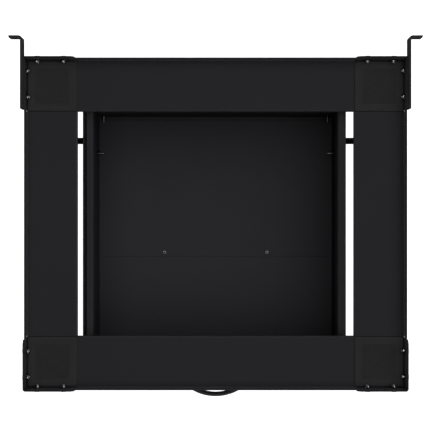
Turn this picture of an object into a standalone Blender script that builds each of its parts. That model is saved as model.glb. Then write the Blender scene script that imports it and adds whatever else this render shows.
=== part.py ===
"""A low firewood rack of folded sheet steel: four rimmed boards on angle legs, with a log drawer below.

Metres, +Z up. The front, with the drawer's handle, faces -Y, and the wall brackets stand out at the rear.
Every length below is given in the rack's own frame, whose Y centre is the middle of the four boards.
"""

import math

import bmesh
import bpy
from mathutils import Matrix, Vector

GAP = 0.0003  # clearance between pieces that touch
SHEET = 0.002
BEND = 0.003  # inner radius of a fold
BEND_STEPS = 3
BEND_CUT = 0.010  # how far in the notches under a side board's ears reach

FRAME_WIDTH = 0.760
FRAME_DEPTH = 0.660
BOARD_TOP = 0.340
BOARD_WIDE = 0.103  # side boards, from the rim to the opening
BOARD_DEEP = 0.105  # front and rear boards
RIM = 0.027
HEM = 0.020
HALF_X = FRAME_WIDTH / 2
HALF_Y = FRAME_DEPTH / 2
OPEN_X = HALF_X - BOARD_WIDE
OPEN_Y = HALF_Y - BOARD_DEEP
EAR_END = HALF_Y - BEND  # clear of the fold inside the legs

PAD_X, PAD_Y, PAD_THICK = 0.097, 0.099, 0.003
PAD_INSET = 0.0015  # from the opening's edges
PAD_ROUND, PAD_ROUND_STEPS = 0.001, 2

LEG_FLANGE = 0.102
LEG_TOP = BOARD_TOP + RIM + 0.006
LEG_CHAMFER = 0.008
LEG_OUT_X = HALF_X + GAP + SHEET
LEG_OUT_Y = HALF_Y + GAP + SHEET
FOOT_SOLE = 0.004
FOOT_HEIGHT = 0.016
FOOT_WALL = 0.0022
FOOT_ROUND = 0.008

BRACKET_THICK = 0.004
BRACKET_IN_X = LEG_OUT_X + GAP
BRACKET_OUT_X = 0.4095
BRACKET_REAR_Y = 0.3728
BRACKET_FRONT_Y = 0.228
BRACKET_BOTTOM, BRACKET_TOP = BOARD_TOP - 0.001, BOARD_TOP + 0.039
WALL_SCREW_X = 0.398
WALL_SCREW_R = 0.003

BOLT_R, BOLT_SIDES = 0.003, 12
HOLE_R = BOLT_R + 0.0004
HOLE_LENGTH = 0.020  # of a hole's cutter, longer than any stack of sheets
HEAD_R, HEAD_HEIGHT, HEAD_SIDES = 0.006, 0.0022, 16
NUT_R, NUT_HEIGHT = 0.0058, 0.005
SCREW_HEAD_R = 0.0045
BOLT_END = 0.003  # of thread past a corner nut
BACK_END, GLIDE_END = 0.010, 0.0085  # and past the nuts inside the drawer
BOLT_Z = BOARD_TOP + RIM / 2
FIRST_BOLT, BOLT_PITCH = 0.025, 0.052  # from the frame's corner

DRAWER_IN_X = 0.2475
DRAWER_LIP_X = 0.2596
DRAWER_TOP = 0.310
DRAWER_REAR_Y = 0.227
BACK_LIP, BACK_FLANGE = 0.011, 0.009
FLANGE = 0.020
FLOOR_SHEET = 0.0015
FLOOR_BOTTOM = 0.1428
FLOOR_SEAM_Y, FLOOR_LAP = -0.070, 0.025
FLOOR_SCREW_X, FLOOR_SCREW_Y = 0.109, -0.0617
REAR_BOLT_X = 0.235
CORNER_FLANGE = 0.024
CORNER_FLANGE_BOTTOM, CORNER_FLANGE_TOP = FLOOR_BOTTOM + 0.010, 0.300
PANEL_X, PANEL_BOTTOM, PANEL_TOP, PANEL_DEPTH = 0.2755, 0.136, 0.335, 0.014
DRAWER_OUT_X = DRAWER_IN_X + SHEET

RUNNER_Z = 0.190  # height of the glides, their bolts and the spacers
RAIL_SHIFT = -0.0025  # both rails sit this far off centre
RAIL_OUT_X = 0.2751
RAIL_TOP, RAIL_BOTTOM = 0.207, 0.1382
RAIL_TOP_FLANGE, RAIL_BOTTOM_FLANGE = 0.021, 0.041
RAIL_FRONT_Y, RAIL_REAR_Y = -0.314, 0.244
GLIDE_Y, GLIDE_LENGTH, GLIDE_THICK, GLIDE_HEIGHT = 0.147, 0.050, 0.0195, 0.0288
GLIDE_SEAT = 0.012  # of plastic under the bolt's head
GLIDE_POCKET_R = 0.0072
SPACER_R, SPACER_SIDES = 0.00675, 20
SPACER_REAR_Y, SPACER_FRONT_Y = 0.173, -0.275
STRETCHER_HEIGHT, STRETCHER_FLANGE = 0.036, 0.020

HANDLE_Z = 0.225
HANDLE_R, HANDLE_REACH, HANDLE_HALF = 0.005, 0.0238, 0.062
HANDLE_STEPS, HANDLE_SIDES = 22, 12
HANDLE_FOOT_R, HANDLE_FOOT = 0.008, 0.006

ORIGIN_Y = -(BRACKET_REAR_Y - HALF_Y - HANDLE_REACH - HANDLE_R) / 2


def clear_scene():
    """Removes whatever the start-up scene holds."""
    for thing in list(bpy.data.objects):
        bpy.data.objects.remove(thing)


def material(name, colour, roughness, metallic):
    made = bpy.data.materials.new(name)
    made.use_nodes = True
    shader = made.node_tree.nodes["Principled BSDF"]
    shader.inputs["Base Color"].default_value = (*colour, 1)
    shader.inputs["Roughness"].default_value = roughness
    shader.inputs["Metallic"].default_value = metallic
    return made


def empty(name, parent=None, location=(0, 0, 0)):
    made = bpy.data.objects.new(name, None)
    bpy.context.collection.objects.link(made)
    made.parent = parent
    made.location = location
    return made


def mesh_of(bm, name, flip=(1, 1)):
    """A mesh from bm, mirrored where flip holds -1, with its faces turned out."""
    bmesh.ops.scale(bm, vec=(flip[0], flip[1], 1), verts=bm.verts)
    bmesh.ops.recalc_face_normals(bm, faces=bm.faces)
    mesh = bpy.data.meshes.new(name)
    bm.to_mesh(mesh)
    bm.free()
    return mesh


def add(name, mesh, finish, parent, location=(0, 0, 0), rotation=(0, 0, 0)):
    if not mesh.materials:
        mesh.materials.append(finish)
    made = bpy.data.objects.new(name, mesh)
    bpy.context.collection.objects.link(made)
    made.parent = parent
    made.location = location
    made.rotation_euler = rotation
    return made


def rounded(path, radius):
    """The path with each inner corner replaced by an arc of that radius."""
    points = [Vector(path[0])]
    for before, corner, after in zip(path, path[1:], path[2:]):
        corner = Vector(corner)
        back = (Vector(before) - corner).normalized()
        ahead = (Vector(after) - corner).normalized()
        half = back.angle(ahead) / 2
        centre = corner + (back + ahead).normalized() * radius / math.sin(half)
        start = corner + back * radius / math.tan(half) - centre
        turn = start.angle_signed(corner + ahead * radius / math.tan(half) - centre)
        for step in range(BEND_STEPS + 1):
            spin = Matrix.Rotation(-turn * step / BEND_STEPS, 2)
            points.append(centre + spin @ start)
    points.append(Vector(path[-1]))
    return points


def trimmed(path, cut):
    """The path with both its ends pulled in by cut."""
    points = [Vector(p) for p in path]
    points[0] += (points[1] - points[0]).normalized() * cut
    points[-1] += (points[-2] - points[-1]).normalized() * cut
    return points


def section(path, thickness):
    """The closed outline of a sheet whose one face follows path and whose other lies to its left."""
    sides = [Vector((a.y - b.y, b.x - a.x)).normalized() for a, b in zip(path, path[1:])]
    offset = []
    for i, point in enumerate(path):
        first, second = sides[max(i - 1, 0)], sides[min(i, len(sides) - 1)]
        mitre = (first + second).normalized()
        offset.append(point + mitre * thickness / mitre.dot(first))
    return list(path) + offset[::-1]


def place(u, v, w, axis):
    return {"X": (w, u, v), "Y": (u, w, v), "Z": (u, v, w)}[axis]


def folded(path, thickness, axis, levels, radius=BEND):
    """A folded sheet: path, drawn across axis, run along it through levels of (position, end trim)."""
    bm = bmesh.new()
    rings = []
    for position, cut in levels:
        outline = section(rounded(trimmed(path, cut), radius), thickness)
        rings.append([bm.verts.new(place(p.x, p.y, position, axis)) for p in outline])
    for low, high in zip(rings, rings[1:]):
        for i in range(len(low)):
            bm.faces.new((low[i - 1], low[i], high[i], high[i - 1]))
    bm.faces.new(rings[0])
    bm.faces.new(rings[-1])
    return bm


def block(bm, low, high):
    """Adds a box between two corners to bm."""
    low, high = Vector(low), Vector(high)
    size = Matrix.Diagonal((*(high - low), 1))
    bmesh.ops.create_cube(bm, size=1, matrix=Matrix.Translation((low + high) / 2) @ size)
    return bm


def cylinder(bm, centre, axis, radius, length, sides):
    """Adds a cylinder to bm, centred on centre, along axis."""
    turn = {
        "X": Matrix.Rotation(math.pi / 2, 4, "Y"),
        "Y": Matrix.Rotation(math.pi / 2, 4, "X"),
        "Z": Matrix.Identity(4),
    }[axis]
    bmesh.ops.create_cone(
        bm, cap_ends=True, segments=sides, radius1=radius, radius2=radius,
        depth=length, matrix=Matrix.Translation(centre) @ turn,
    )
    return bm


def boolean(target, bm, operation, flip=(1, 1)):
    """Cuts bm's shape from target, or joins it on, as a live modifier with a hidden helper."""
    helper = add(f"{target.name}_{operation.lower()}", mesh_of(bm, "helper", flip), None, target.parent)
    helper.matrix_basis = target.matrix_basis
    helper.hide_render = True
    helper.display_type = "WIRE"
    modifier = target.modifiers.new(operation.title(), "BOOLEAN")
    modifier.operation = operation
    modifier.solver = "EXACT"
    modifier.object = helper


def holes(centres, axis, radius=HOLE_R, length=HOLE_LENGTH, sides=BOLT_SIDES):
    bm = bmesh.new()
    for centre in centres:
        cylinder(bm, centre, axis, radius, length, sides)
    return bm


def bolt_mesh(name, grip, end, head=HEAD_R):
    """A low round-headed bolt along +Z with its nut run on. Z = 0 is the face under the head."""
    length = grip + GAP + NUT_HEIGHT + end
    shank = cylinder(bmesh.new(), (0, 0, length / 2 - GAP), "Z", BOLT_R, length + 2 * GAP, BOLT_SIDES)
    ends = cylinder(
        bmesh.new(), (0, 0, -GAP - HEAD_HEIGHT / 2), "Z", head, HEAD_HEIGHT, HEAD_SIDES)
    cylinder(ends, (0, 0, grip + GAP + NUT_HEIGHT / 2), "Z", NUT_R, NUT_HEIGHT, 6)
    bolt = add(name, mesh_of(shank, name), None, None)
    boolean(bolt, ends, "UNION")
    bpy.context.view_layer.update()
    joined = bolt.evaluated_get(bpy.context.evaluated_depsgraph_get())
    mesh = bpy.data.meshes.new_from_object(joined)
    mesh.materials.clear()
    bpy.data.objects.remove(bolt.modifiers[0].object)
    bpy.data.objects.remove(bolt)
    return mesh


def cross_board(name, sy, finish, parent):
    """Front or rear board: rim up at the outer edge, hem down at the opening."""
    path = [
        (HALF_Y - SHEET, BOARD_TOP + RIM), (HALF_Y - SHEET, BOARD_TOP),
        (OPEN_Y, BOARD_TOP), (OPEN_Y, BOARD_TOP - HEM),
    ]
    path = [Vector(p) for p in path]
    end = HALF_X - SHEET - GAP
    bm = folded(path, SHEET, "X", [(-end, 0), (end, 0)])
    board = add(name, mesh_of(bm, name, (1, sy)), finish, parent)
    xs = [s * (HALF_X - FIRST_BOLT - n * BOLT_PITCH) for s in (-1, 1) for n in (0, 1)]
    boolean(board, holes([(x, HALF_Y, BOLT_Z) for x in xs], "Y"), "DIFFERENCE", (1, sy))


def side_board(name, sx, finish, parent):
    """Side board between the front and rear boards. Its rim runs on past them as ears for the bolts."""
    path = [
        (HALF_X - SHEET, BOARD_TOP + RIM), (HALF_X - SHEET, BOARD_TOP),
        (OPEN_X, BOARD_TOP), (OPEN_X, BOARD_TOP - HEM),
    ]
    path = [Vector(p) for p in path]
    bm = folded(path, SHEET, "Y", [(-EAR_END, 0), (EAR_END, 0)])
    board = add(name, mesh_of(bm, name, (sx, 1)), finish, parent)
    web, under_ear = bmesh.new(), bmesh.new()
    floor = BOARD_TOP - 2 * HEM
    for sy in (-1, 1):
        near, far = sorted((sy * (OPEN_Y - GAP), sy * (HALF_Y + GAP)))
        block(web, (OPEN_X - GAP, near, floor), (HALF_X - SHEET - GAP, far, BOARD_TOP + 2 * RIM))
        block(under_ear, (HALF_X - BEND_CUT, near, floor), (HALF_X + GAP, far, BOARD_TOP + GAP))
    boolean(board, web, "DIFFERENCE", (sx, 1))
    boolean(board, under_ear, "DIFFERENCE", (sx, 1))
    ys = [s * (HALF_Y - FIRST_BOLT - n * BOLT_PITCH) for s in (-1, 1) for n in (0, 1)]
    boolean(board, holes([(HALF_X, y, BOLT_Z) for y in ys], "X"), "DIFFERENCE", (sx, 1))


def corner_pad(name, sx, sy, finish, parent):
    low = (OPEN_X + PAD_INSET, OPEN_Y + PAD_INSET / 2, BOARD_TOP + GAP)
    bm = block(bmesh.new(), low, Vector(low) + Vector((PAD_X, PAD_Y, PAD_THICK)))
    pad = add(name, mesh_of(bm, name, (sx, sy)), finish, parent)
    bevel = pad.modifiers.new("Rounded edge", "BEVEL")
    bevel.width = PAD_ROUND
    bevel.segments = PAD_ROUND_STEPS


def leg_path(inward=0.0):
    """Outer face of a rear right leg in plan, or a line parallel to it further in."""
    end_x, end_y = LEG_OUT_X - LEG_FLANGE, LEG_OUT_Y - LEG_FLANGE
    x, y = LEG_OUT_X - inward, LEG_OUT_Y - inward
    return [Vector((x, end_y)), Vector((x, y)), Vector((end_x, y))]


def leg(name, sx, sy, finish, parent):
    """Angle leg, with the free corners at its top cut off."""
    foot = FOOT_SOLE + GAP
    levels = [(foot, 0), (LEG_TOP - LEG_CHAMFER, 0), (LEG_TOP, LEG_CHAMFER)]
    bm = folded(leg_path(), SHEET, "Z", levels, BEND + SHEET)
    made = add(name, mesh_of(bm, name, (sx, sy)), finish, parent)
    cut = bmesh.new()
    for n in (0, 1):
        inset = FIRST_BOLT + n * BOLT_PITCH
        cylinder(cut, (HALF_X - inset, LEG_OUT_Y, BOLT_Z), "Y", HOLE_R, HOLE_LENGTH, BOLT_SIDES)
        cylinder(cut, (LEG_OUT_X, HALF_Y - inset, BOLT_Z), "X", HOLE_R, HOLE_LENGTH, BOLT_SIDES)
    boolean(made, cut, "DIFFERENCE", (sx, sy))


def foot_cap(name, sx, sy, finish, parent):
    """Push-on cap: an angle-shaped block with a slot for the leg's lower edge."""
    wide = SHEET + 2 * (GAP + FOOT_WALL)
    outer = leg_path(-GAP - FOOT_WALL)
    bm = folded(trimmed(outer, -FOOT_WALL - GAP), wide, "Z", [(0, 0), (FOOT_HEIGHT, 0)], FOOT_ROUND)
    foot = add(name, mesh_of(bm, name, (sx, sy)), finish, parent)
    slot = folded(
        trimmed(leg_path(-GAP), -GAP), SHEET + 2 * GAP, "Z",
        [(FOOT_SOLE, 0), (FOOT_HEIGHT + GAP, 0)], BEND + SHEET + GAP)
    boolean(foot, slot, "DIFFERENCE", (sx, sy))


def wall_bracket(name, sx, finish, parent):
    """Cranked strip bolted outside a rear leg, its tail turned out flat against the wall."""
    path = [
        Vector((BRACKET_OUT_X, BRACKET_REAR_Y)),
        Vector((BRACKET_IN_X, BRACKET_REAR_Y)),
        Vector((BRACKET_IN_X, BRACKET_FRONT_Y)),
    ]
    levels = [(BRACKET_BOTTOM, 0), (BRACKET_TOP, 0)]
    bm = folded(path, BRACKET_THICK, "Z", levels, BEND + BRACKET_THICK)
    bracket = add(name, mesh_of(bm, name, (sx, 1)), finish, parent)
    cutters = holes([(BRACKET_IN_X, HALF_Y - FIRST_BOLT - n * BOLT_PITCH, BOLT_Z) for n in (0, 1)], "X")
    middle = (BRACKET_BOTTOM + BRACKET_TOP) / 2
    cylinder(cutters, (WALL_SCREW_X, BRACKET_REAR_Y, middle), "Y", WALL_SCREW_R, HOLE_LENGTH, BOLT_SIDES)
    boolean(bracket, cutters, "DIFFERENCE", (sx, 1))


def corner_bolts(name, sx, sy, finish, parent, plain, through_bracket):
    """Four bolts at one corner: two through the cross board's rim and two through the side board's ear."""
    for n in (0, 1):
        inset = FIRST_BOLT + n * BOLT_PITCH
        spot = (sx * (HALF_X - inset), sy * LEG_OUT_Y, BOLT_Z)
        add(f"{name}_{n + 1}", plain, finish, parent, spot, (0, -math.pi / 2, sy * math.pi / 2))
        mesh = through_bracket if sy > 0 else plain
        face = LEG_OUT_X + (GAP + BRACKET_THICK if sy > 0 else 0)
        spot = (sx * face, sy * (HALF_Y - inset), BOLT_Z)
        add(f"{name}_{n + 3}", mesh, finish, parent, spot, (0, -sx * math.pi / 2, 0))


def side_stretcher(name, sx, finish, parent):
    """Angle between the front and rear legs of one side, carrying the rail's spacers."""
    x = HALF_X - GAP - SHEET
    top = RUNNER_Z + STRETCHER_HEIGHT / 2
    path = [Vector(p) for p in (
        (x - STRETCHER_FLANGE, top - SHEET), (x, top - SHEET), (x, top - STRETCHER_HEIGHT))]
    bm = folded(path, SHEET, "Y", [(-EAR_END, 0), (EAR_END, 0)])
    add(name, mesh_of(bm, name, (sx, 1)), finish, parent)


def rail(name, sx, finish, parent):
    """Channel open towards the drawer: the drawer slides on the lower flange, under the short upper one."""
    x = RAIL_OUT_X + sx * RAIL_SHIFT - SHEET
    path = [Vector(p) for p in (
        (x + SHEET - RAIL_TOP_FLANGE, RAIL_TOP - SHEET), (x, RAIL_TOP - SHEET),
        (x, RAIL_BOTTOM + SHEET), (x + SHEET - RAIL_BOTTOM_FLANGE, RAIL_BOTTOM + SHEET),
    )]
    bm = folded(path, SHEET, "Y", [(RAIL_FRONT_Y, 0), (RAIL_REAR_Y, 0)])
    add(name, mesh_of(bm, name, (sx, 1)), finish, parent)


def rail_spacer(name, sx, y, finish, parent):
    inner = RAIL_OUT_X + sx * RAIL_SHIFT + GAP
    outer = HALF_X - 2 * GAP - SHEET
    bm = cylinder(
        bmesh.new(), ((inner + outer) / 2, y, RUNNER_Z), "X", SPACER_R, outer - inner, SPACER_SIDES)
    add(name, mesh_of(bm, name, (sx, 1)), finish, parent)


def drawer_side(name, sx, finish, parent):
    """Drawer wall: lip out at the top, flange in under the floor, and a flange behind and in front."""
    front = -HALF_Y + SHEET + GAP
    rear = DRAWER_REAR_Y + 2 * SHEET + GAP
    flange_bottom = FLOOR_BOTTOM - GAP - SHEET
    path = [Vector(p) for p in (
        (DRAWER_LIP_X, DRAWER_TOP), (DRAWER_IN_X, DRAWER_TOP), (DRAWER_IN_X, flange_bottom + SHEET))]
    bm = folded(path, SHEET, "Y", [(front, 0), (rear, 0)])
    wall = add(name, mesh_of(bm, name, (sx, 1)), finish, parent)
    flanges = bmesh.new()
    inside_wall = DRAWER_OUT_X - SHEET / 2
    block(
        flanges, (DRAWER_OUT_X - FLANGE, front + SHEET / 2, flange_bottom),
        (inside_wall, DRAWER_REAR_Y - GAP, flange_bottom + SHEET))
    for y in (front, rear - SHEET):
        block(
            flanges, (DRAWER_OUT_X - CORNER_FLANGE, y, CORNER_FLANGE_BOTTOM),
            (inside_wall, y + SHEET, CORNER_FLANGE_TOP))
    boolean(wall, flanges, "UNION", (sx, 1))
    cut = holes([(DRAWER_IN_X, GLIDE_Y, RUNNER_Z)], "X")
    cylinder(cut, (REAR_BOLT_X, rear, RUNNER_Z), "Y", HOLE_R, BACK_LIP, BOLT_SIDES)
    boolean(wall, cut, "DIFFERENCE", (sx, 1))


def drawer_back(finish, parent):
    """Rear wall with a lip back at the top and a narrow flange forward over the floor."""
    foot = FLOOR_BOTTOM + 2 * FLOOR_SHEET + 2 * GAP
    path = [Vector(p) for p in (
        (DRAWER_REAR_Y + BACK_LIP, DRAWER_TOP), (DRAWER_REAR_Y, DRAWER_TOP),
        (DRAWER_REAR_Y, foot + SHEET), (DRAWER_REAR_Y - BACK_FLANGE, foot + SHEET),
    )]
    bm = folded(path, SHEET, "X", [(-DRAWER_IN_X + GAP, 0), (DRAWER_IN_X - GAP, 0)])
    back = add("drawer_back", mesh_of(bm, "drawer_back"), finish, parent)
    spots = [(s * REAR_BOLT_X, DRAWER_REAR_Y, RUNNER_Z) for s in (-1, 1)]
    boolean(back, holes(spots, "Y"), "DIFFERENCE")


def floor_sheet(name, front, rear, bottom, finish, parent):
    side = DRAWER_IN_X - GAP
    bm = block(bmesh.new(), (-side, front, bottom), (side, rear, bottom + FLOOR_SHEET))
    sheet = add(name, mesh_of(bm, name), finish, parent)
    spots = [(s * FLOOR_SCREW_X, FLOOR_SCREW_Y, bottom) for s in (-1, 1)]
    boolean(sheet, holes(spots, "Z"), "DIFFERENCE")


def drawer_front(finish, parent):
    """Front panel: a shallow pan with its four edges turned back."""
    bm = block(bmesh.new(), (-PANEL_X, -HALF_Y, PANEL_BOTTOM), (PANEL_X, -HALF_Y + PANEL_DEPTH, PANEL_TOP))
    panel = add("drawer_front", mesh_of(bm, "drawer_front"), finish, parent)
    cut = block(
        bmesh.new(), (-PANEL_X + SHEET, -HALF_Y + SHEET, PANEL_BOTTOM + SHEET),
        (PANEL_X - SHEET, -HALF_Y + PANEL_DEPTH + GAP, PANEL_TOP - SHEET))
    boolean(panel, cut, "DIFFERENCE")


def bow_handle(finish, parent):
    """Round bar bent to one arc between two round feet."""
    radius = (HANDLE_HALF**2 + HANDLE_REACH**2) / (2 * HANDLE_REACH)
    centre = Vector((0, -HALF_Y - HANDLE_REACH + radius, HANDLE_Z))
    half_turn = math.asin((HANDLE_HALF - HANDLE_R) / radius)
    bm = bmesh.new()
    bmesh.ops.create_circle(
        bm, cap_ends=True, segments=HANDLE_SIDES, radius=HANDLE_R,
        matrix=Matrix.Translation(centre - Vector((0, radius, 0))) @ Matrix.Rotation(math.pi / 2, 4, "Y"))
    bmesh.ops.rotate(bm, cent=centre, matrix=Matrix.Rotation(-half_turn, 3, "Z"), verts=bm.verts)
    bmesh.ops.spin(
        bm, geom=bm.faces[:], cent=centre, axis=(0, 0, 1), angle=2 * half_turn, steps=HANDLE_STEPS)
    handle = add("bow_handle", mesh_of(bm, "bow_handle"), finish, parent)
    feet = bmesh.new()
    middle = -HALF_Y - GAP - HANDLE_FOOT / 2
    for x in (-HANDLE_HALF, HANDLE_HALF):
        cylinder(feet, (x, middle, HANDLE_Z), "Y", HANDLE_FOOT_R, HANDLE_FOOT, HEAD_SIDES)
    boolean(handle, feet, "UNION")


def glide(name, sx, finish, parent):
    """Plastic block bolted outside the drawer's wall, running inside the rail."""
    low = Vector((DRAWER_OUT_X + GAP, GLIDE_Y - GLIDE_LENGTH / 2, RUNNER_Z - GLIDE_HEIGHT / 2))
    high = low + Vector((GLIDE_THICK, GLIDE_LENGTH, GLIDE_HEIGHT))
    made = add(name, mesh_of(block(bmesh.new(), low, high), name, (sx, 1)), finish, parent)
    pocket = DRAWER_OUT_X + GAP + GLIDE_SEAT
    centre = (pocket + HOLE_LENGTH / 2, GLIDE_Y, RUNNER_Z)
    cut = cylinder(bmesh.new(), centre, "X", GLIDE_POCKET_R, HOLE_LENGTH, HEAD_SIDES)
    boolean(made, cut, "DIFFERENCE", (sx, 1))
    through = holes([(pocket, GLIDE_Y, RUNNER_Z)], "X", length=2 * GLIDE_THICK)
    boolean(made, through, "DIFFERENCE", (sx, 1))


def build():
    clear_scene()
    black = material("black_powder_coat", (0.018, 0.018, 0.020), 0.55, 0.0)
    pad_finish = material("textured_pad", (0.017, 0.018, 0.016), 0.8, 0.0)
    plain_steel = material("black_fasteners", (0.03, 0.03, 0.03), 0.4, 0.6)
    plastic = material("black_plastic", (0.02, 0.02, 0.02), 0.6, 0.0)
    rack = empty("rack", location=(0, ORIGIN_Y, 0))
    frame = empty("frame", rack)
    drawer = empty("drawer", rack)

    sheets = SHEET + GAP + SHEET
    plain = bolt_mesh("corner_bolt", sheets, BOLT_END)
    through_bracket = bolt_mesh("bracket_bolt", sheets + GAP + BRACKET_THICK, BOLT_END)
    back_bolt = bolt_mesh("back_bolt", sheets, BACK_END)
    glide_bolt = bolt_mesh("glide_bolt", SHEET + GAP + GLIDE_SEAT, GLIDE_END)
    floor_screw = bolt_mesh("floor_screw", 2 * FLOOR_SHEET + GAP, GAP, SCREW_HEAD_R)

    for end, sy in (("front", -1), ("rear", 1)):
        cross_board(f"board_{end}", sy, black, frame)
    for side, sx in (("left", -1), ("right", 1)):
        side_board(f"board_{side}", sx, black, frame)
        wall_bracket(f"wall_bracket_{side}", sx, black, frame)
        side_stretcher(f"side_stretcher_{side}", sx, black, frame)
        rail(f"drawer_rail_{side}", sx, black, frame)
        for end, sy, spacer_y in (("front", -1, SPACER_FRONT_Y), ("rear", 1, SPACER_REAR_Y)):
            corner = f"{end}_{side}"
            corner_pad(f"corner_pad_{corner}", sx, sy, pad_finish, frame)
            leg(f"leg_{corner}", sx, sy, black, frame)
            foot_cap(f"foot_cap_{corner}", sx, sy, plastic, frame)
            rail_spacer(f"rail_spacer_{corner}", sx, spacer_y, black, frame)
            corner_bolts(f"corner_bolt_{corner}", sx, sy, plain_steel, frame, plain, through_bracket)

        drawer_side(f"drawer_side_{side}", sx, black, drawer)
        glide(f"drawer_glide_{side}", sx, plastic, drawer)
        rear_face = DRAWER_REAR_Y + sheets
        spot = (sx * REAR_BOLT_X, rear_face, RUNNER_Z)
        add(f"back_bolt_{side}", back_bolt, plain_steel, drawer, spot, (0, -math.pi / 2, math.pi / 2))
        spot = (sx * (DRAWER_OUT_X + GAP + GLIDE_SEAT), GLIDE_Y, RUNNER_Z)
        add(f"glide_bolt_{side}", glide_bolt, plain_steel, drawer, spot, (0, -sx * math.pi / 2, 0))
        spot = (sx * FLOOR_SCREW_X, FLOOR_SCREW_Y, FLOOR_BOTTOM + 2 * FLOOR_SHEET + GAP)
        add(f"floor_screw_{side}", floor_screw, plain_steel, drawer, spot, (math.pi, 0, 0))

    drawer_back(black, drawer)
    drawer_front(black, drawer)
    bow_handle(black, drawer)
    rear_bottom = FLOOR_BOTTOM + FLOOR_SHEET + GAP
    floor_sheet("drawer_floor_rear", FLOOR_SEAM_Y, DRAWER_REAR_Y - GAP, rear_bottom, black, drawer)
    front_edge = -HALF_Y + 2 * SHEET + 2 * GAP
    floor_sheet("drawer_floor_front", front_edge, FLOOR_SEAM_Y + FLOOR_LAP, FLOOR_BOTTOM, black, drawer)


build()
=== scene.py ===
"""Looks for a low firewood rack: a rimmed steel top on angle legs, with a log drawer under its opening."""

import math

import bmesh
import bpy
from mathutils import Matrix, Vector


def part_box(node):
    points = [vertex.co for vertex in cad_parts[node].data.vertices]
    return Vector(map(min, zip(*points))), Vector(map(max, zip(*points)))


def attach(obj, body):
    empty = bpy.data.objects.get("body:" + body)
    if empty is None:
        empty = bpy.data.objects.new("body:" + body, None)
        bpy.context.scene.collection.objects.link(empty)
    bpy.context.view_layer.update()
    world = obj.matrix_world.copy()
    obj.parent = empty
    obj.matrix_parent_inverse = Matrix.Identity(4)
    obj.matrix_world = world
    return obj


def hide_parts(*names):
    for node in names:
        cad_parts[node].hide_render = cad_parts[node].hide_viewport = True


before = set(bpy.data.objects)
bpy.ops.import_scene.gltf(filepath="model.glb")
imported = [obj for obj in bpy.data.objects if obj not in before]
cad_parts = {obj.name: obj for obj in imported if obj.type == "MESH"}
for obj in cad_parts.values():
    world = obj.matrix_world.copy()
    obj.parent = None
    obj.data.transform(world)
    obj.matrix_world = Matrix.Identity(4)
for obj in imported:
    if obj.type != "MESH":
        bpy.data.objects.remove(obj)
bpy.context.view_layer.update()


# The studio: a plain pale floor that glows like a lit table, so no shadow greys the slots in the rack.
# A wide soft lamp hangs overhead, off to the right, and one lamp on each side shines in level with the floor.
FLOOR_SPAN = 60.0
FLOOR_DROP = 0.0004
FLOOR_GLOW = 1.05
CAMERA_AT = (-0.0012, 0.0106, 3.367)
CAMERA_LENS = 126.7
KEY_TURN = (0.30, 0.10)
KEY_SPREAD = math.radians(84)
KEY_POWER = 1.33
SIDE_TURNS = ((1, 0, 0), (-1, 0, 0), (0, 1, 0), (0, -1, 0))
SIDE_SPREAD = math.radians(26)
SIDE_POWER = 2.2

sheet = bmesh.new()
bmesh.ops.create_grid(
    sheet, x_segments=1, y_segments=1, size=FLOOR_SPAN / 2, matrix=Matrix.Translation((0, 0, -FLOOR_DROP)))
floor_mesh = bpy.data.meshes.new("studio_floor")
sheet.to_mesh(floor_mesh)
sheet.free()
studio_floor = bpy.data.objects.new("studio_floor", floor_mesh)
bpy.context.scene.collection.objects.link(studio_floor)
lit_table = bpy.data.materials.new("lit_table")
lit_table.use_nodes = True
table_shader = lit_table.node_tree.nodes["Principled BSDF"]
table_shader.inputs["Base Color"].default_value = (0.8, 0.8, 0.8, 1)
table_shader.inputs["Roughness"].default_value = 0.9
table_shader.inputs["Emission Color"].default_value = (1, 1, 1, 1)
table_shader.inputs["Emission Strength"].default_value = FLOOR_GLOW
floor_mesh.materials.append(lit_table)
studio_floor.visible_diffuse = False
studio_floor.visible_glossy = False
studio_floor.visible_shadow = False



def soft_lamp(name, turn, spread, power):
    """A far round lamp, turned to shine down along -turn."""
    lamp = bpy.data.lights.new(name, "SUN")
    lamp.energy = power
    lamp.angle = spread
    stand = bpy.data.objects.new(name, lamp)
    bpy.context.scene.collection.objects.link(stand)
    stand.rotation_mode = "QUATERNION"
    stand.rotation_quaternion = Vector(turn).to_track_quat("Z", "Y")
    stand.location = 3 * Vector(turn)


soft_lamp("key", (*KEY_TURN, 1), KEY_SPREAD, KEY_POWER)
for number, turn in enumerate(SIDE_TURNS):
    soft_lamp(f"side_{number + 1}", turn, SIDE_SPREAD, SIDE_POWER)

world = bpy.data.worlds.new("studio_air")
bpy.context.scene.world = world
world.use_nodes = True
air = world.node_tree.nodes["Background"]
air.inputs["Color"].default_value = (1, 1, 1, 1)
air.inputs["Strength"].default_value = FLOOR_GLOW
world.cycles_visibility.diffuse = False
world.cycles_visibility.glossy = False
bpy.context.scene.view_settings.view_transform = "Standard"
bpy.context.scene.view_settings.look = "None"

camera = bpy.data.cameras.new("camera")
camera.lens = CAMERA_LENS
camera.sensor_width = 36
camera.clip_end = 100
camera_stand = bpy.data.objects.new("camera", camera)
bpy.context.scene.collection.objects.link(camera_stand)
camera_stand.location = CAMERA_AT
bpy.context.scene.camera = camera_stand


# Top boards: four folded trays of 2 mm steel, the two long ones between the two side ones.
# Each has a rim turned up outside and a hem turned down at the opening. Satin black powder coat.
COAT_COLOUR = (0.0239, 0.0239, 0.0270, 1)
COAT_PALE = (0.0250, 0.0250, 0.0283, 1)
COAT_ROUGH = (0.53, 0.57)
COAT_SPECULAR = 0.15
PEEL_SIZE = 900.0
PEEL_DEPTH = 0.00004
CUT_EDGE = 0.0003


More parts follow.
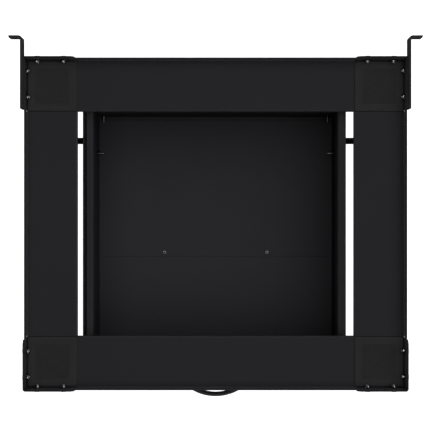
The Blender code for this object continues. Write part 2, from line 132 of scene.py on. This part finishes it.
def link_noise(tree, scale, detail):
    """A noise in the piece's own coordinates, in cells per metre."""
    noise = tree.nodes.new("ShaderNodeTexNoise")
    noise.inputs["Scale"].default_value = scale
    noise.inputs["Detail"].default_value = detail
    place = tree.nodes.get("Place") or tree.nodes.new("ShaderNodeTexCoord")
    place.name = "Place"
    tree.links.new(place.outputs["Object"], noise.inputs["Vector"])
    return noise.outputs["Fac"]


def link_range(tree, value, low, high, to_low, to_high):
    """Stretches a value between two levels."""
    stretch = tree.nodes.new("ShaderNodeMapRange")
    for socket, number in zip(("From Min", "From Max", "To Min", "To Max"), (low, high, to_low, to_high)):
        stretch.inputs[socket].default_value = number
    tree.links.new(value, stretch.inputs["Value"])
    return stretch.outputs["Result"]


def link_tint(tree, amount, first, second):
    """Mixes two colours by an amount."""
    mix = tree.nodes.new("ShaderNodeMix")
    mix.data_type = "RGBA"
    mix.inputs["A"].default_value = first
    mix.inputs["B"].default_value = second
    tree.links.new(amount, mix.inputs["Factor"])
    return mix.outputs["Result"]


def finish_of(name, colour, pale, rough, grain, depth, specular, metallic=0.0, cloud=14.0):
    """A sprayed, moulded or plated finish: clouded colour, fine grain and a varying gloss."""
    made = bpy.data.materials.new(name)
    made.use_nodes = True
    tree = made.node_tree
    shader = tree.nodes["Principled BSDF"]
    shader.inputs["Metallic"].default_value = metallic
    shader.inputs["Specular IOR Level"].default_value = specular
    cloudy = link_range(tree, link_noise(tree, cloud, 4), 0.35, 0.65, 0.0, 1.0)
    tree.links.new(link_tint(tree, cloudy, colour, pale), shader.inputs["Base Color"])
    gloss = link_range(tree, link_noise(tree, cloud * 5, 3), 0.3, 0.7, *rough)
    tree.links.new(gloss, shader.inputs["Roughness"])
    bump = tree.nodes.new("ShaderNodeBump")
    bump.inputs["Strength"].default_value = 1.0
    bump.inputs["Distance"].default_value = depth
    tree.links.new(link_noise(tree, grain, 2), bump.inputs["Height"])
    tree.links.new(bump.outputs["Normal"], shader.inputs["Normal"])
    return made


powder_coat = finish_of(
    "powder_coat", COAT_COLOUR, COAT_PALE, COAT_ROUGH, PEEL_SIZE, PEEL_DEPTH, COAT_SPECULAR)


def stood(bm, name, body, finish, replaced):
    """Makes the finished piece, which rides on a body and stands for the plain one."""
    bmesh.ops.remove_doubles(bm, verts=bm.verts, dist=1e-6)
    bmesh.ops.recalc_face_normals(bm, faces=bm.faces)
    mesh = bpy.data.meshes.new(name)
    bm.to_mesh(mesh)
    bm.free()
    mesh.shade_smooth()
    mesh.materials.append(finish)
    piece = bpy.data.objects.new(name, mesh)
    bpy.context.scene.collection.objects.link(piece)
    even = piece.modifiers.new("even_faces", "WEIGHTED_NORMAL")
    even.keep_sharp = True
    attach(piece, body)
    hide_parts(replaced)
    return piece


def coated(name, body, finish=powder_coat, edge=CUT_EDGE):
    """Stands a sheet with its cut edges eased by the coat in place of the plain one."""
    bm = bmesh.new()
    bm.from_mesh(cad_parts[name].data)
    bmesh.ops.remove_doubles(bm, verts=bm.verts, dist=1e-5)
    bmesh.ops.dissolve_limit(bm, angle_limit=math.radians(2), verts=bm.verts, edges=bm.edges)
    sharp = [e for e in bm.edges if len(e.link_faces) == 2 and e.calc_face_angle() > math.radians(50)]
    bmesh.ops.bevel(
        bm, geom=sharp, offset=edge, offset_type="OFFSET", segments=2, profile=0.5,
        affect="EDGES", clamp_overlap=True, material=-1)
    return stood(bm, f"coated_{name}", body, finish, name)


for side in ("front", "rear", "left", "right"):
    coated(f"board_{side}", "frame")


# Corner pads: thin moulded rubber squares laid on the boards, one at each corner, with rounded corners.
# A low border runs round a finely stippled field that stands a little below it.
PAD_BORDER = 0.0135
PAD_STEP, PAD_SUNK = 0.0012, 0.0004
PAD_CORNER, PAD_CORNER_STEPS = 0.004, 4
PAD_EDGE, PAD_EDGE_STEPS = 0.0012, 3
FIELD_COLOUR, FIELD_PALE = (0.0178, 0.0179, 0.0179, 1), (0.0204, 0.0205, 0.0204, 1)
BORDER_COLOUR, BORDER_PALE = (0.0195, 0.0198, 0.0198, 1), (0.0207, 0.0210, 0.0210, 1)
STIPPLE_SIZE, FIELD_DEPTH, BORDER_DEPTH = 1300.0, 0.00012, 0.00005

left_and_right = (("left", -1), ("right", 1))
front_and_rear = (("front", -1), ("rear", 1))

pad_border = finish_of(
    "pad_border", BORDER_COLOUR, BORDER_PALE, (0.62, 0.70), STIPPLE_SIZE, BORDER_DEPTH, 0.35)
pad_field = finish_of(
    "pad_field", FIELD_COLOUR, FIELD_PALE, (0.70, 0.80), STIPPLE_SIZE, FIELD_DEPTH, 0.35, cloud=40.0)


def rounded_edges(bm, edges, offset, steps):
    """Rounds the edges given."""
    bmesh.ops.bevel(
        bm, geom=edges, offset=offset, offset_type="OFFSET", segments=steps, profile=0.5,
        affect="EDGES", clamp_overlap=True, material=-1)


for end, _ in front_and_rear:
    for side, _ in left_and_right:
        name = f"corner_pad_{end}_{side}"
        low, high = (Vector(corner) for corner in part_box(name))
        size = high - low
        bm = bmesh.new()
        bmesh.ops.create_cube(
            bm, size=1, matrix=Matrix.Translation((low + high) / 2) @ Matrix.Diagonal((*size, 1)))
        bm.normal_update()
        field = max(bm.faces, key=lambda f: f.normal.z)
        bmesh.ops.inset_region(bm, faces=[field], thickness=PAD_BORDER, use_even_offset=True)
        bmesh.ops.inset_region(
            bm, faces=[field], thickness=PAD_STEP, depth=-PAD_SUNK, use_even_offset=True)
        field.material_index = 1
        upright = [e for e in bm.edges if abs(e.verts[0].co.z - e.verts[1].co.z) > size.z / 2]
        rounded_edges(bm, upright, PAD_CORNER, PAD_CORNER_STEPS)
        bm.normal_update()
        brim = [e for e in bm.edges if sorted(round(f.normal.z) for f in e.link_faces) == [0, 1]
                and min(v.co.z for v in e.verts) > high.z - 1e-5]
        rounded_edges(bm, brim, PAD_EDGE, PAD_EDGE_STEPS)
        pad = stood(bm, f"moulded_{name}", "frame", pad_border, name)
        pad.data.materials.append(pad_field)


# Legs: folded angle of 2 mm steel, bolted outside the boards' rims at each corner. Same coat.
for end, _ in front_and_rear:
    for side, _ in left_and_right:
        coated(f"leg_{end}_{side}", "frame")


# Foot caps: matt black plastic mouldings pushed over the legs' lower edges, with every edge rounded.
CAP_COLOUR, CAP_PALE = (0.012, 0.012, 0.012, 1), (0.016, 0.016, 0.016, 1)
CAP_GRAIN, CAP_GRAIN_DEPTH = 2200.0, 0.00006
CAP_EDGE = 0.0009

cap_plastic = finish_of(
    "cap_plastic", CAP_COLOUR, CAP_PALE, (0.55, 0.68), CAP_GRAIN, CAP_GRAIN_DEPTH, 0.4, cloud=60.0)
for end, _ in front_and_rear:
    for side, _ in left_and_right:
        coated(f"foot_cap_{end}_{side}", "frame", cap_plastic, CAP_EDGE)


# Wall brackets: cranked strips of 4 mm steel under the rear side bolts, with a turned-out tail for a screw.
# Stretchers tie each pair of legs, and the rails beside them carry the drawer. All coated.
BRACKET_EDGE = 0.0006

for side, _ in left_and_right:
    coated(f"wall_bracket_{side}", "frame", edge=BRACKET_EDGE)
    coated(f"side_stretcher_{side}", "frame")
    coated(f"drawer_rail_{side}", "frame")


# Rail spacers: turned steel bars that hold each rail off its stretcher, one near each end.
# Their coat is painted nearly black, far darker than the rest: painted shade for the shadow they lie in under
# the boards.
# Painted shade: the bars' colours are darkened to stand in for the shadow in the slots beside the drawer.
BAR_SHADE_COLOUR, BAR_SHADE_PALE = (0.0035, 0.0035, 0.0037, 1), (0.0050, 0.0050, 0.0052, 1)
BAR_EASE, BAR_STEPS = 0.0008, 32

bar_painted_shade_coat = finish_of("bar_painted_shade_coat", BAR_SHADE_COLOUR, BAR_SHADE_PALE, (0.60, 0.70), PEEL_SIZE, PEEL_DEPTH, 0.12)


def turned(bm, outline, steps):
    """Adds a solid turned about Z from an outline of (radius, height) points."""
    points = [bm.verts.new((radius, 0, height)) for radius, height in outline]
    line = [bm.edges.new(pair) for pair in zip(points, points[1:])]
    bmesh.ops.spin(
        bm, geom=points + line, cent=(0, 0, 0), axis=(0, 0, 1), angle=2 * math.pi, steps=steps,
        use_merge=True)
    bmesh.ops.remove_doubles(bm, verts=bm.verts, dist=1e-7)


def laid(bm, spot, along, up):
    """Moves a shape made on Z so that it starts at spot and runs along one way, its X turned up."""
    along, up = Vector(along), Vector(up)
    turn = Matrix((up, along.cross(up), along)).transposed().to_4x4()
    bmesh.ops.transform(bm, matrix=Matrix.Translation(spot) @ turn, verts=bm.verts)


for end, _ in front_and_rear:
    for side, _ in left_and_right:
        name = f"rail_spacer_{end}_{side}"
        low, high = (Vector(corner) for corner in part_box(name))
        radius, length = (high.z - low.z) / 2, high.x - low.x
        middle = (low + high) / 2
        bm = bmesh.new()
        turned(bm, (
            (0, 0), (radius - BAR_EASE, 0), (radius, BAR_EASE), (radius, length - BAR_EASE),
            (radius - BAR_EASE, length), (0, length)), BAR_STEPS)
        laid(bm, (low.x, middle.y, middle.z), (1, 0, 0), (0, 0, 1))
        stood(bm, f"turned_{name}", "frame", bar_painted_shade_coat, name)


# Corner bolts: zinc-plated M6 button heads with hexagon sockets outside, and hexagon nuts inside the rims.
# Each nut is run on with a flat up, and a few threads stand past it.
ZINC, ZINC_PALE = (0.13, 0.13, 0.133, 1), (0.19, 0.19, 0.19, 1)
ZINC_GRAIN, ZINC_DEPTH = 1600.0, 0.00003
HEAD_HEIGHT, HEAD_STEPS = 0.0022, 24
SOCKET, SOCKET_DEPTH = 0.0019, 0.0014
SHANK = 0.003
NUT, NUT_HEIGHT, NUT_CHAMFER = 0.0056, 0.005, 0.0009
PITCH, THREAD_DEPTH, TIP = 0.001, 0.0004, 0.0006
CORNER_END = 0.003

zinc = finish_of("zinc", ZINC, ZINC_PALE, (0.26, 0.36), ZINC_GRAIN, ZINC_DEPTH, 0.5, 1.0, cloud=300.0)


def button_head(bm, radius):
    """Adds a low domed head whose top is at Z = 0, with a hexagon socket sunk in it."""
    turned(bm, (
        (SOCKET * 1.1, 0), (radius * 0.80, HEAD_HEIGHT * 0.06), (radius * 0.93, HEAD_HEIGHT * 0.25),
        (radius * 0.99, HEAD_HEIGHT * 0.65), (radius, HEAD_HEIGHT * 0.90), (radius * 0.97, HEAD_HEIGHT),
        (0, HEAD_HEIGHT)), HEAD_STEPS)
    mouth = [e for e in bm.edges if e.is_boundary]
    corners = bmesh.ops.create_circle(bm, segments=6, radius=SOCKET)["verts"]
    hexagon = [e for e in bm.edges if all(v in corners for v in e.verts)]
    bmesh.ops.bridge_loops(bm, edges=mouth + hexagon)
    sunk = bmesh.ops.extrude_edge_only(bm, edges=hexagon)["geom"]
    bmesh.ops.translate(
        bm, vec=(0, 0, SOCKET_DEPTH), verts=[g for g in sunk if isinstance(g, bmesh.types.BMVert)])
    rim = [g for g in sunk if isinstance(g, bmesh.types.BMEdge) and g.is_boundary]
    bmesh.ops.edgeloop_fill(bm, edges=rim)


def bolt(name, body, inward, up, head, past):
    """Stands a detailed bolt and nut for a plain one. Its head looks away from inward."""
    low, high = (Vector(corner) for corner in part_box(name))
    inward = Vector(inward)
    length = abs((high - low).dot(inward))
    bm = bmesh.new()
    button_head(bm, head)
    outline = [(0, HEAD_HEIGHT / 2), (SHANK, HEAD_HEIGHT / 2)]
    ridges = int((NUT_HEIGHT + past) / PITCH)
    for ridge in range(ridges):
        height = length - TIP - (ridges - ridge) * PITCH
        outline += [(SHANK, height), (SHANK - THREAD_DEPTH, height + PITCH / 2)]
    outline += [(SHANK, length - TIP), (SHANK - TIP, length), (0, length)]
    turned(bm, outline, HEAD_STEPS)
    nut = bmesh.ops.create_cone(
        bm, cap_ends=True, segments=6, radius1=NUT, radius2=NUT, depth=NUT_HEIGHT,
        matrix=Matrix.Translation((0, 0, length - past - NUT_HEIGHT / 2)))["verts"]
    bmesh.ops.bevel(
        bm, geom=nut, offset=NUT_CHAMFER, offset_type="OFFSET", segments=1, profile=0.5,
        affect="VERTICES", clamp_overlap=True, material=-1)
    laid(bm, (low + high) / 2 - inward * length / 2, inward, up)
    stood(bm, f"threaded_{name}", body, zinc, name)


for end, sy in front_and_rear:
    for side, sx in left_and_right:
        for number, inward in ((1, (0, -sy, 0)), (2, (0, -sy, 0)), (3, (-sx, 0, 0)), (4, (-sx, 0, 0))):
            bolt(f"corner_bolt_{end}_{side}_{number}", "frame", inward, (0, 0, 1), 0.006, CORNER_END)


# Drawer: folded walls with a rolled-out lip and a front panel, all 2 mm steel in the same coat.
# The floor is two lapped sheets whose coat is painted about 1.4 times lighter and slightly bluer than the
# rest: painted light for the light the floor catches through the opening.
# Painted light: these floor colours are lighter than the boards' coat to stand in for the light falling on
# the floor.
FLOOR_PAINTED_LIGHT_COLOUR, FLOOR_PAINTED_LIGHT_PALE = (0.0340, 0.0336, 0.0388, 1), (0.0357, 0.0353, 0.0407, 1)

floor_painted_light_coat = finish_of(
    "floor_painted_light_coat", FLOOR_PAINTED_LIGHT_COLOUR, FLOOR_PAINTED_LIGHT_PALE, COAT_ROUGH, PEEL_SIZE, PEEL_DEPTH, COAT_SPECULAR)
for name in ("drawer_side_left", "drawer_side_right", "drawer_back", "drawer_front"):
    coated(name, "drawer")
for name in ("drawer_floor_front", "drawer_floor_rear"):
    coated(name, "drawer", floor_painted_light_coat)


# Glides: blocks of smooth black low-friction plastic outside the drawer's walls, running inside the rails.
GLIDE_COLOUR, GLIDE_PALE = (0.007, 0.007, 0.007, 1), (0.010, 0.010, 0.010, 1)
GLIDE_GRAIN, GLIDE_GRAIN_DEPTH = 1500.0, 0.00003
GLIDE_EDGE = 0.0012

glide_plastic = finish_of(
    "glide_plastic", GLIDE_COLOUR, GLIDE_PALE, (0.36, 0.46), GLIDE_GRAIN, GLIDE_GRAIN_DEPTH, 0.5, cloud=80.0)
for side, _ in left_and_right:
    coated(f"drawer_glide_{side}", "drawer", glide_plastic, GLIDE_EDGE)


# Drawer bolts: longer bolts of the same kind hold the back and the glides, with nuts inside the drawer.
# Two small button screws hold the floor's two sheets together at the lap.
BACK_END, GLIDE_END, FLOOR_END = 0.010, 0.0085, 0.0003

for side, sx in left_and_right:
    bolt(f"back_bolt_{side}", "drawer", (0, -1, 0), (0, 0, 1), 0.006, BACK_END)
    bolt(f"glide_bolt_{side}", "drawer", (-sx, 0, 0), (0, 0, 1), 0.006, GLIDE_END)
    bolt(f"floor_screw_{side}", "drawer", (0, 0, -1), (1, 0, 0), 0.0045, FLOOR_END)


# Bow handle: 10 mm round steel bar bent to one arc, welded to two round feet on the drawer's front.
# Coated with the rest.
BAR_R, BOW_STEPS, BAR_SIDES = 0.005, 48, 24
FOOT_R, FOOT_THICK, FOOT_EASE = 0.008, 0.006, 0.0012
FOOT_SEAT = 0.0003

low, high = (Vector(corner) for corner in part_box("bow_handle"))
half = high.x - FOOT_R
height = (low.z + high.z) / 2
reach = high.y + FOOT_SEAT - low.y - BAR_R
bow = (half**2 + reach**2) / (2 * reach)
bow_centre = Vector((0, low.y + BAR_R + bow, height))
half_turn = math.asin((half - BAR_R) / bow)
bm = bmesh.new()
bmesh.ops.create_circle(
    bm, cap_ends=True, segments=BAR_SIDES, radius=BAR_R,
    matrix=Matrix.Translation((0, low.y + BAR_R, height)) @ Matrix.Rotation(math.pi / 2, 4, "Y"))
bmesh.ops.rotate(bm, cent=bow_centre, matrix=Matrix.Rotation(-half_turn, 3, "Z"), verts=bm.verts)
bmesh.ops.spin(
    bm, geom=bm.faces[:], cent=bow_centre, axis=(0, 0, 1), angle=2 * half_turn, steps=BOW_STEPS)
for x in (-half, half):
    foot = bmesh.new()
    turned(foot, (
        (0, 0), (FOOT_R, 0), (FOOT_R, FOOT_THICK - FOOT_EASE),
        (FOOT_R - FOOT_EASE * 0.3, FOOT_THICK - FOOT_EASE * 0.3), (FOOT_R - FOOT_EASE, FOOT_THICK),
        (0, FOOT_THICK)), BAR_SIDES)
    laid(foot, (x, high.y, height), (0, -1, 0), (0, 0, 1))
    foot_mesh = bpy.data.meshes.new("handle_foot")
    foot.to_mesh(foot_mesh)
    foot.free()
    bm.from_mesh(foot_mesh)
    bpy.data.meshes.remove(foot_mesh)
stood(bm, "coated_bow_handle", "drawer", powder_coat, "bow_handle")
